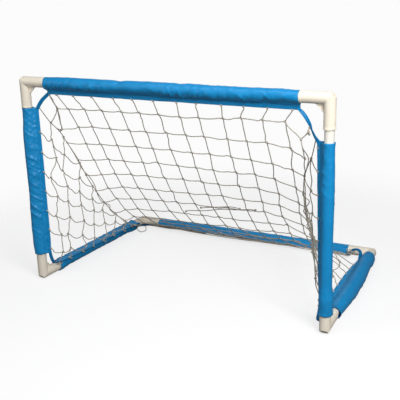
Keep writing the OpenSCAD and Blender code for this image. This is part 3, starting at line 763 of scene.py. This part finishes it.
def laid_cord():
    """Tree that turns edges into three-strand cord and points into knots."""
    tree, given = geometry_tree("laid cord", [
        ("Radius", "NodeSocketFloat", 0.0014),
        ("Lay", "NodeSocketFloat", 0.009),
        ("Step", "NodeSocketFloat", 0.0021),
        ("Seed", "NodeSocketInt", 4),
        ("Paint", "NodeSocketMaterial", None)])

    def named(label, kind):
        return add(tree, "GeometryNodeInputNamedAttribute", {"data_type": kind},
                   {"Name": label})

    points = add(tree, "GeometryNodeSeparateGeometry", {}, {
        "Geometry": given["Geometry"], "Selection": named("knot", "BOOLEAN")})
    cords = add(tree, "GeometryNodeMeshToCurve", {}, {"Mesh": points.out("Inverted")})
    cords = add(tree, "GeometryNodeResampleCurve", {"mode": "LENGTH"}, {
        "Curve": cords, "Length": given["Step"]})
    along = add(tree, "GeometryNodeSplineParameter", out="Length")
    cords = add(tree, "GeometryNodeSetCurveTilt", {}, {
        "Curve": cords, "Tilt": along / given["Lay"] * (2 * math.pi)})
    strands = add(tree, "GeometryNodeCurveStar", {}, {
        "Points": 3, "Inner Radius": given["Radius"] * 0.8,
        "Outer Radius": given["Radius"] * 1.12})
    cords = add(tree, "GeometryNodeCurveToMesh", {}, {
        "Curve": cords, "Profile Curve": strands, "Fill Caps": True})
    round_ = add(tree, "GeometryNodeCurvePrimitiveCircle", {}, {
        "Resolution": 6, "Radius": given["Radius"] * 0.95})
    rings = []
    for turn, size in (((0.5, 0.35, 0.2), (1.15, 0.8, 1)),
                       ((1.2, -0.5, 0.9), (0.9, 0.75, 1)),
                       ((-0.4, 1.15, 0.4), (1.0, 0.85, 1))):
        ring = add(tree, "GeometryNodeCurvePrimitiveCircle", {}, {
            "Resolution": 12, "Radius": given["Radius"] * 1.75})
        ring = add(tree, "GeometryNodeTransform", {}, {
            "Geometry": ring, "Rotation": turn, "Scale": size})
        rings.append(add(tree, "GeometryNodeCurveToMesh", {}, {
            "Curve": ring, "Profile Curve": round_}))
    facing = add(tree, "FunctionNodeAxesToRotation",
                 {"primary_axis": "X", "secondary_axis": "Y"},
                 {"Primary Axis": named("row", "FLOAT_VECTOR"),
                  "Secondary Axis": named("column", "FLOAT_VECTOR")})
    spin = add(tree, "FunctionNodeRandomValue", {"data_type": "FLOAT_VECTOR"}, {
        0: (-0.5, -0.5, -0.5), 1: (0.5, 0.5, 0.5), "Seed": given["Seed"]})
    facing = add(tree, "FunctionNodeRotateRotation", {"rotation_space": "LOCAL"}, {
        "Rotation": facing, "Rotate By": spin})
    knots = add(tree, "GeometryNodeInstanceOnPoints", {}, {
        "Points": points, "Rotation": facing,
        "Instance": add(tree, "GeometryNodeJoinGeometry", {}, {0: rings})})
    whole = add(tree, "GeometryNodeJoinGeometry", {}, {0: [cords, knots]})
    return end_tree(tree, whole, given["Paint"])


def corded(tree):
    """Undyed cord: worn paler in patches, with a fibrous surface."""
    place = add(tree, "ShaderNodeTexCoord", out="Object")
    worn = noise(tree, place, 60, 3)
    fibres = noise(tree, place, 3000, 2)
    return {
        "Base Color": mix(tree, worn, (0.36, 0.32, 0.255, 1), (0.56, 0.51, 0.42, 1)),
        "Normal": bump(tree, fibres, 0.0002),
    }


net_cord = material("net_cord", corded, Roughness=0.75, Sheen_Weight=0.2)
cord_tree = laid_cord()


def blend(a, b, t):
    """From a to b by the share t."""
    return a + (b - a) * t


def beside(hand, inward, along, up):
    """A place by a side bar: inward of it, along it from the front, and up."""
    corner, ahead = front_corners[hand], rear_corners[hand] - front_corners[hand]
    ahead = ahead / np.linalg.norm(ahead)
    inner = np.cross((0, 0, -1 if hand == "left" else 1), ahead)
    return corner + ahead * along + inner * inward + np.array((0, 0, up))


# The strips' edges that hold the net, of which only y and z are read
TOP_EDGE, REAR_EDGE = strips["crossbar"](0.3), strips["rear"](0.3)


def slope(x, v):
    """The back net's surface at x, for v from 0 at the top to 1 at the rear."""
    edge = min(abs(x) / 0.405, 1) ** 3
    droop = 1.19 + 0.2 * x + edge * (0.15 if x < 0 else 1.05)
    return np.array((x, blend(TOP_EDGE[1], REAR_EDGE[1], v),
                     REAR_EDGE[2] + (TOP_EDGE[2] - REAR_EDGE[2]) * max(1 - v, 0) ** droop))


net = Netting(7)
# Where the hanging cords are tied along the crossbar and along the rear bar
TOP_TIES = [-0.341, -0.286, -0.225, -0.156, -0.097, -0.033,
            0.036, 0.092, 0.162, 0.222, 0.285, 0.349]
REAR_TIES = [-0.376, -0.322, -0.262, -0.196, -0.129, -0.070,
             -0.006, 0.053, 0.109, 0.165, 0.213, 0.262]
ACROSS, DOWN = len(TOP_TIES), 10
jitter = net.random.normal(scale=0.0018, size=(ACROSS, DOWN + 2, 3))
jitter[:, 0], jitter[:, -1] = 0, 0


def knot_place(i, j):
    """Knot j down the cord that hangs from tie i: the whole net swings left."""
    x = TOP_TIES[i]
    start = 0.066 - 0.03 * smooth(0.1, 0.35, x)
    step = 0.0985 - 0.007 * smooth(-0.2, 0.35, x) - 0.009 * smooth(0.15, 0.35, x)
    v = 0 if j == 0 else 1 if j > DOWN else min(start + step * (j - 1), 0.97)
    if 0 < j:
        swing = math.sin(math.pi / 2 * min(max(v - 0.066, 0) / 0.75, 1)) ** 1.15
        x = 0.945 * x - 0.005 - 0.062 * swing + 0.008 * smooth(0.1, 0.3, x) * smooth(0, 0.3, v)
        x = blend(x, REAR_TIES[i], float(smooth(0.8, 1, v)))
    return slope(x, v) + jitter[i, j]


grid = [[knot_place(i, j) for j in range(DOWN + 2)] for i in range(ACROSS)]
left_seam = curve_through([beside("left", *p) for p in (
    (0.036, 0.011, 0.505), (0.037, 0.048, 0.459), (0.038, 0.086, 0.423), (0.039, 0.110, 0.388),
    (0.040, 0.153, 0.327), (0.040, 0.196, 0.252), (0.040, 0.250, 0.178), (0.039, 0.303, 0.118),
    (0.038, 0.387, 0.046), (0.037, 0.440, 0.018), (0.037, 0.474, 0.004))], 12)
right_seam = curve_through([beside("right", *p) for p in (
    (0.036, 0.011, 0.475), (0.056, 0.050, 0.425), (0.086, 0.095, 0.366), (0.101, 0.138, 0.306),
    (0.111, 0.181, 0.256), (0.117, 0.223, 0.204), (0.121, 0.268, 0.157), (0.121, 0.313, 0.109),
    (0.110, 0.355, 0.072), (0.090, 0.400, 0.044), (0.066, 0.445, 0.024), (0.052, 0.474, 0.018),
    (0.040, 0.4955, 0.0195))], 12)


def on_seam(seam, value, axis=1):
    """The place where a seam passes a given y, or a given z with axis 2."""
    return seam[int(np.argmin(np.abs(seam[:, axis] - value)))]


def toward(a, b):
    """The unit direction from a to b."""
    d = np.asarray(b, float) - np.asarray(a, float)
    return d / max(np.linalg.norm(d), 1e-6)


# Each cord leaves a knot a little off its middle
STEP_OFF = 0.0013
for i in range(ACROSS):
    for j in range(DOWN + 2):
        here = grid[i][j]
        row = toward(here, grid[i + 1][j]) if i + 1 < ACROSS else toward(grid[i - 1][j], here)
        column = toward(here, grid[i][j + 1]) if j <= DOWN else toward(grid[i][j - 1], here)
        if j <= DOWN:
            net.bar(here + row * STEP_OFF, grid[i][j + 1] - row * STEP_OFF, sag=0.004)
        if 0 < j <= DOWN and i + 1 < ACROSS:
            net.bar(here + column * STEP_OFF, grid[i + 1][j] - column * STEP_OFF)
        net.knot(here, row, column)

# At the top left the net's edge is laced double, from the crossbar to the seam,
# and lower down each row is tied to the seam
corner = np.array((-0.367, TOP_EDGE[1], TOP_EDGE[2]))
first = np.array((-0.360, TOP_EDGE[1] + 0.022, 0.520))
second = np.array((-0.380, TOP_EDGE[1] + 0.062, 0.449))
for a, b in ((corner, first), (first, second), (second, on_seam(left_seam, -0.188))):
    net.bar(a, b)
    net.bar(a + 0.001, b + 0.001)
net.bar(first, grid[0][1], sag=0.05)
net.bar(second, grid[0][2], sag=0.05)
net.bar(second, on_seam(left_seam, -0.20), sag=0.1)
net.bar(first, on_seam(left_seam, -0.222), sag=0.1)
for at in (first, second):
    net.knot(at)
for j in range(3, DOWN + 1):
    end = on_seam(left_seam, grid[0][j][2] + 0.006, 2)
    net.bar(end, grid[0][j], sag=0.05)
    net.knot(end)

# At the right the two top rows end on an edge cord, and the others on the seam
right_ends = []
for j in range(1, DOWN + 1):
    if j < 3:
        end = beside("right", 0.073, -0.018 + 0.034 * j, 0.530 - 0.055 * j)
    else:
        end = on_seam(right_seam, grid[-1][j][1] - 0.010)
    right_ends.append(end)
    net.bar(grid[-1][j], end, sag=0.03)
    net.knot(end)
# The net's top right corner is tied to the corner tape with a doubled cord
TAPE_KNOT = np.array((0.3888, -0.2630, 0.5113))
for offset in (0, 0.0016):
    net.bar(TAPE_KNOT - offset, right_ends[0] + offset)
    net.bar(TAPE_KNOT - offset, (0.3916 - offset, -0.2630, 0.5236), kink=0.001, steps=7)
net.knot(TAPE_KNOT)
net.knot(TAPE_KNOT + np.array((0.001, 0.001, -0.006)))
# The edge cord, with a slack one beside it, runs down to the seam
net.bar(right_ends[0], right_ends[1])
net.bar(right_ends[1], right_ends[2])
net.thread([right_ends[0], right_ends[0] + (0.006, -0.004, -0.02),
            right_ends[1] + (0.010, -0.004, 0.004), right_ends[1] + (0.004, 0.004, -0.024),
            right_ends[2]])
net.build("back_netting", ["back_net"])


# ------------------------------------------------ the seam and border cords
# Cord laced loosely from knot to knot joins the back net to the two side nets.
# More of it borders the nets along the rear strip, where a slack bight lies on
# the floor by the rear left corner.

lacing = Netting(41)
# Each seam has a tight cord, and a loose one that is laced to and fro along it
for seam, slack, start in ((left_seam, 0.012, 40), (right_seam, 0.022, 34)):
    lacing.thread(seam[::6], steps=6)
    held = seam[start::5]
    k = np.arange(len(held))
    loose = np.stack([ripple(k * 0.9, 0.5, start + shift) for shift in (0, 9, 18)], 1)
    ends = np.minimum(1, np.minimum(k, k[::-1]) / 2)[:, None]
    lacing.thread(held + slack * loose * ends * (1, 1, 0.4), steps=5)
# Three border cords lie along the rear strip, up into the tape's loop
for low_by, seed in ((0.000, 1), (0.003, 2), (0.0055, 3)):
    lacing.thread([(x, REAR_EDGE[1] + 0.002 * ripple(x / 0.06, 0.3, seed),
                    REAR_EDGE[2] - low_by + 0.0022 * ripple(x / 0.05, 0.7, seed))
                   for x in np.arange(-0.372, 0.345, 0.018)]
                  + [(0.3560, 0.2335, 0.0125 - low_by / 2), (0.3600, 0.2295, 0.0225)], steps=5)
# The bight by the rear left corner, the cord that ties it, and a last border cord
lacing.thread([(-0.408, 0.200, 0.026), (-0.410, 0.212, 0.010), (-0.395, 0.198, 0.004),
               (-0.373, 0.187, 0.004), (-0.366, 0.205, 0.006), (-0.380, 0.226, 0.014),
               (-0.370, 0.236, 0.017)])
lacing.thread([(-0.412, 0.180, 0.022), (-0.405, 0.206, 0.019), (-0.392, 0.222, 0.012),
               (-0.378, 0.232, 0.012), (-0.360, 0.238, 0.014)])
lacing.thread([(x, REAR_EDGE[1] - 0.001, 0.0305 + 0.003 * ripple(x / 0.07, 0.5, 8))
               for x in np.arange(-0.330, 0.200, 0.021)], steps=5)
# Two slack ends are tied in across the lower back net, at (x, v) on its slope
for loose in (((-0.148, 0.735), (-0.128, 0.720), (-0.068, 0.695), (-0.004, 0.660),
               (0.048, 0.640), (0.104, 0.610), (0.124, 0.600)),
              ((-0.078, 0.676), (-0.048, 0.658), (-0.004, 0.638), (0.038, 0.618),
               (0.068, 0.622))):
    line = [slope(x, v) + (0, -0.0012, 0.0016) for x, v in loose]
    lacing.thread(line, steps=6, wobble=0.0007)
    lacing.knot(line[0])
    lacing.knot(line[-1])
lacing.build("seam_cords", ["left_seam_cord", "right_seam_cord"])


# ---------------------------------------------------------- the side nets
# A triangular piece of the same netting closes each side. It is tied through
# the strips of the post and the base bar, and laced to the seam.

MESH = 0.059
TIE_IN = 0.002


def post_ties(side, hand, heights):
    """Knots on a post's strip at the given heights, by their row."""
    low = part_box(hand + "_post_sleeve")[0]
    ties = {m: strips[hand + "_post"](rear_bar[2] + up - low[2], STRIP_REACH - TIE_IN)
            for m, up in enumerate(heights)}
    for at in ties.values():
        side.knot(at)
    return ties


def foot_tie(hand, along):
    """The place on a base bar's strip at a distance from the front corner."""
    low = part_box(hand + "_base_sleeve")[0]
    return strips[hand + "_base"](front_corners[hand][1] + along - low[1],
                                  STRIP_REACH - TIE_IN)


def hang(side, top, knots, foot, previous, row_slack, top_slack):
    """A cord from the seam down to the base bar, and the rows that reach it.

    Rows come from the knots of the previous cord, or of the post. Those that
    find no knot here end at the seam. Each slack is a sag and a kink."""
    line = [top] + [knots[m] for m in sorted(knots, reverse=True)] + [foot]
    for a, b in zip(line[:-1], line[1:]):
        side.bar(a, b, sag=0.01, kink=0.005)
    for at in line:
        side.knot(at, (0, 1, 0))
    for m, at in previous.items():
        if m in knots:
            side.bar(at, knots[m], *row_slack)
        elif m - 1 in knots or not knots:
            side.bar(at, top, *top_slack)


# Each hanging cord of the left piece: its place along the base bar, and how
# the heights of its knots follow from those of the ties on the post
LEFT_HANGING = [(0.048, 0.966, -0.018), (0.098, 0.833, -0.011), (0.161, 0.80, -0.035),
                (0.214, 0.76, -0.057), (0.270, 0.72, -0.064), (0.326, 0.68, -0.070),
                (0.382, 0.64, -0.072), (0.430, 0.60, -0.072)]
side = Netting(21)
heights = [0.082 + MESH * m for m in range(7)]
previous = post_ties(side, "left", heights)
for along, share, offset in LEFT_HANGING:
    top = on_seam(left_seam, front_corners["left"][1] + along)
    foot = foot_tie("left", along)
    knots = {}
    for m, up in enumerate(heights):
        height = up * share + offset
        if 0.022 < height < top[2] - rear_bar[2] - 0.018:
            knots[m] = beside("left", 0.036, along, height) + side.random.normal(
                scale=(0.004, 0.005, 0.003))
    hang(side, top, knots, foot, previous, (0.17, 0.007), (0.16, 0.006))
    # The end of each hanging cord curls over the strip that it is tied through
    curl = side.random.uniform(0.7, 1.3)
    side.thread([foot, foot + (0.001, 0.006 * curl, -0.006 * curl),
                 foot + (-0.002, 0.014 * curl, -0.007 * curl),
                 foot + (-0.006, 0.020 * curl, -0.001)])
    previous = knots
side.build("left_netting", ["left_side_net"])

# Each hanging cord of the right piece: its place along the seam and the base bar
RIGHT_HANGING = [(0.050, 0.056), (0.095, 0.102), (0.138, 0.148), (0.181, 0.196),
                 (0.223, 0.245), (0.268, 0.296), (0.313, 0.347), (0.360, 0.398),
                 (0.410, 0.440)]
side = Netting(33)
previous = post_ties(side, "right", [0.046 + MESH * m for m in range(8)])
for hung, along in RIGHT_HANGING:
    top = on_seam(right_seam, front_corners["right"][1] + hung)
    foot = foot_tie("right", along)
    length = np.linalg.norm(top - foot)
    knots = {}
    for m in range(int(length / MESH - 0.35)):
        share = 1 - (0.030 + MESH * m) / length
        bow = math.sin(math.pi * share)
        knots[m] = blend(top, foot, share) + np.array(
            (-0.010 * bow, 0.004 * bow, 0)) + side.random.normal(scale=0.004, size=3)
    hang(side, top, knots, foot, previous, (0.08, 0.005), (0.10, 0.004))
    previous = knots
side.build("right_netting", ["right_side_net"])


# --------------------------------------------------- the floor and light
# A pale floor fades into a white backdrop. Four soft lamps light the goal: the
# key at its right front, a fill at the left, one above and a weak one behind.

def pale(tree):
    """Floor that shows bright to the camera and throws little light back."""
    place = add(tree, "ShaderNodeTexCoord", out="Object")
    away = add(tree, "ShaderNodeVectorMath", {"operation": "LENGTH"}, {0: place}, out="Value")
    seen = add(tree, "ShaderNodeLightPath", out="Is Camera Ray")
    return {"Base Color": mix(tree, seen, (0.18, 0.18, 0.18, 1), (0.28, 0.28, 0.28, 1)),
            "Emission Color": mix(tree, seen, (0, 0, 0, 1), (0.73, 0.73, 0.73, 1)),
            "Emission Strength": 1.0, "Roughness": 0.85,
            "Alpha": 1 - ramp(tree, away, 0.6, 1.35)}


floor_data = bpy.data.meshes.new("floor")
floor_data.from_pydata([(-6, -6, 0), (6, -6, 0), (6, 6, 0), (-6, 6, 0)], [], [(0, 1, 2, 3)])
floor = bpy.data.objects.new("floor", floor_data)
floor.data.materials.append(material("floor", pale))
bpy.context.scene.collection.objects.link(floor)
floor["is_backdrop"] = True


def lamp(name, place, target, size, power):
    """A soft rectangular lamp of some watts that looks from place to target."""
    data = bpy.data.lights.new(name, "AREA")
    data.shape = "RECTANGLE"
    data.size, data.size_y = size
    data.energy = power
    made = bpy.data.objects.new(name, data)
    made.location = place
    made.rotation_euler = (Vector(target) - Vector(place)).to_track_quat("-Z", "Y").to_euler()
    bpy.context.scene.collection.objects.link(made)


lamp("key", (1.35, -1.25, 1.4), (0.05, -0.2, 0.35), (0.8, 0.8), 33)
lamp("fill", (-1.7, -2.4, 1.2), (0, 0, 0.3), (2.0, 2.0), 11)
lamp("top", (0.0, -0.8, 1.7), (0, -0.2, 0.3), (1.2, 0.8), 6.5)
lamp("back", (-0.9, 1.7, 1.5), (0, 0.1, 0.3), (1.4, 1.0), 4)

world = bpy.data.worlds.new("studio")
bpy.context.scene.world = world
world.use_nodes = True
sky = world.node_tree
sky.nodes.clear()
seen = add(sky, "ShaderNodeLightPath", out="Is Camera Ray")
white = add(sky, "ShaderNodeBackground", {}, {"Color": (1, 1, 1, 1), "Strength": 0.97})
soft = add(sky, "ShaderNodeBackground", {}, {"Color": (0.95, 0.97, 1, 1), "Strength": 0.14})
both = add(sky, "ShaderNodeMixShader", {}, {0: seen, 1: soft, 2: white})
add(sky, "ShaderNodeOutputWorld", {}, {0: both})

bpy.context.scene.view_settings.view_transform = "Standard"
low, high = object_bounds()
